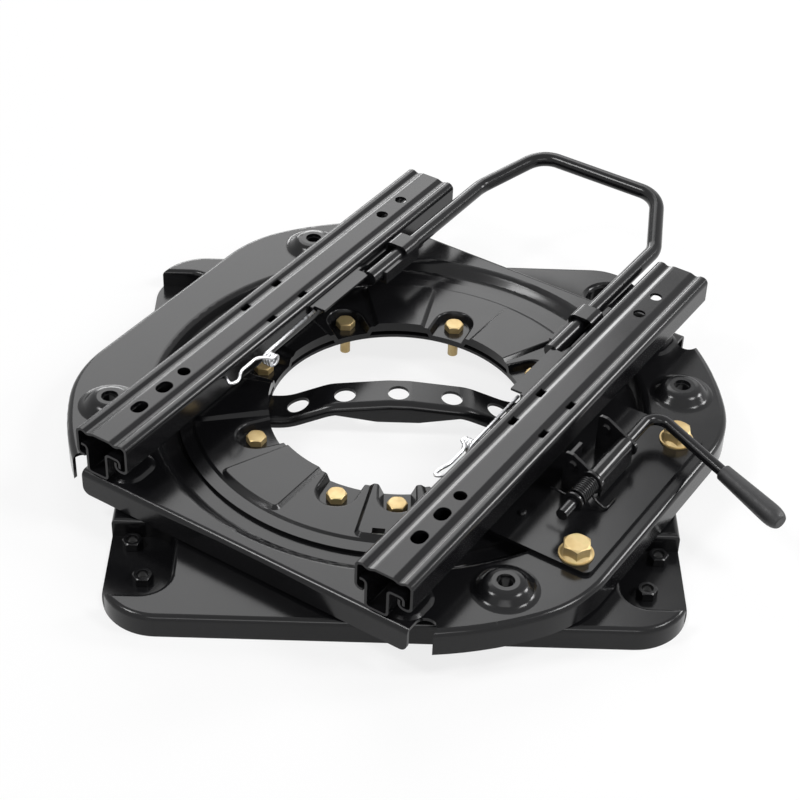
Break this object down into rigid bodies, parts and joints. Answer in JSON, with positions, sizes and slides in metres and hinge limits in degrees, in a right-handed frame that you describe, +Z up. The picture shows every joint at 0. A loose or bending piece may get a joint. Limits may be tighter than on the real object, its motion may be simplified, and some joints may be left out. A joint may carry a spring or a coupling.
{
  "type": "swivel seat base",
  "caption": "Black pressed-steel swivel base for a camper seat: square pan, turntable plate with locking lever, and sliding seat rails with a looped release bar.",
  "frame": {"origin": "centre of the base pan on the plane of its lower edge, on the swivel axis", "axes": "+Z up along the swivel axis, +Y to the back of the base pan, +X to its right; the swivelling half rests turned 32.84 degrees clockwise from above, as pictured"},
  "size_m": [0.5109, 0.5269, 0.09],
  "materials": {
    "black_paint": "semi-gloss black paint on pressed steel",
    "yellow_zinc": "yellow zinc plated steel",
    "bright_zinc": "bright zinc plated steel",
    "ball_steel": "polished bearing steel",
    "grip_plastic": "matte black moulding",
    "glide_nylon": "natural nylon"
  },
  "bodies": {
    "base": {"base_plate": "black_paint", "base_weld_nuts": "black_paint", "bridge_strap": "black_paint", "lower_glide_ring": "glide_nylon", "upper_glide_ring": "glide_nylon", "retainer_ring": "black_paint", "ring_bolts": "yellow_zinc", "ring_nuts": "yellow_zinc"},
    "swivel": {"swivel_plate": "black_paint", "boss_weld_nuts": "black_paint", "lock_plate": "black_paint", "lock_plate_rivets": "black_paint", "lock_plate_bolts": "yellow_zinc", "lock_plate_nuts": "yellow_zinc", "lock_bracket": "black_paint", "bracket_rivets": "black_paint", "lever_spring": "black_paint", "left_lower_rail": "black_paint", "right_lower_rail": "black_paint", "rail_rivets": "black_paint"},
    "lock_lever": {"lever_rod": "black_paint", "lever_grip": "grip_plastic", "lock_pawl": "black_paint", "spring_collars": "black_paint"},
    "carriage": {"left_upper_rail": "black_paint", "right_upper_rail": "black_paint", "latch_pivots": "black_paint", "left_latch_spring": "bright_zinc", "right_latch_spring": "bright_zinc"},
    "left_balls": {"left_rail_balls": "ball_steel"},
    "right_balls": {"right_rail_balls": "ball_steel"},
    "release": {"release_bar": "black_paint", "left_latch_lever": "black_paint", "right_latch_lever": "black_paint"}
  },
  "joints": [
    {"name": "swivel_turn", "type": "hinge", "parent": "base", "child": "swivel", "pos_m": [0, 0, 0.03], "axis": [0, 0, 1], "continuous": true},
    {"name": "seat_slide", "type": "slide", "parent": "swivel", "child": "carriage", "axis": [0.5423, 0.8402, 0], "range_m": [-0.09, 0.09]},
    {"name": "left_ball_run", "type": "slide", "parent": "swivel", "child": "left_balls", "axis": [0.5423, 0.8402, 0], "range_m": [-0.045, 0.045]},
    {"name": "right_ball_run", "type": "slide", "parent": "swivel", "child": "right_balls", "axis": [0.5423, 0.8402, 0], "range_m": [-0.045, 0.045]},
    {"name": "bar_lift", "type": "hinge", "parent": "carriage", "child": "release", "pos_m": [0.04555, 0.07058, 0.068], "axis": [0.8402, -0.5423, 0], "range_deg": [0, 12], "stiffness_Nm_per_rad": 1.5},
    {"name": "lock_lift", "type": "hinge", "parent": "swivel", "child": "lock_lever", "pos_m": [0.14535, -0.09382, 0.061], "axis": [-0.5423, -0.8402, 0], "range_deg": [0, 35], "stiffness_Nm_per_rad": 0.6}
  ],
  "couplings": [
    {"joint": "left_ball_run", "follows": "seat_slide", "ratio": 0.5},
    {"joint": "right_ball_run", "follows": "seat_slide", "ratio": 0.5}
  ]
}
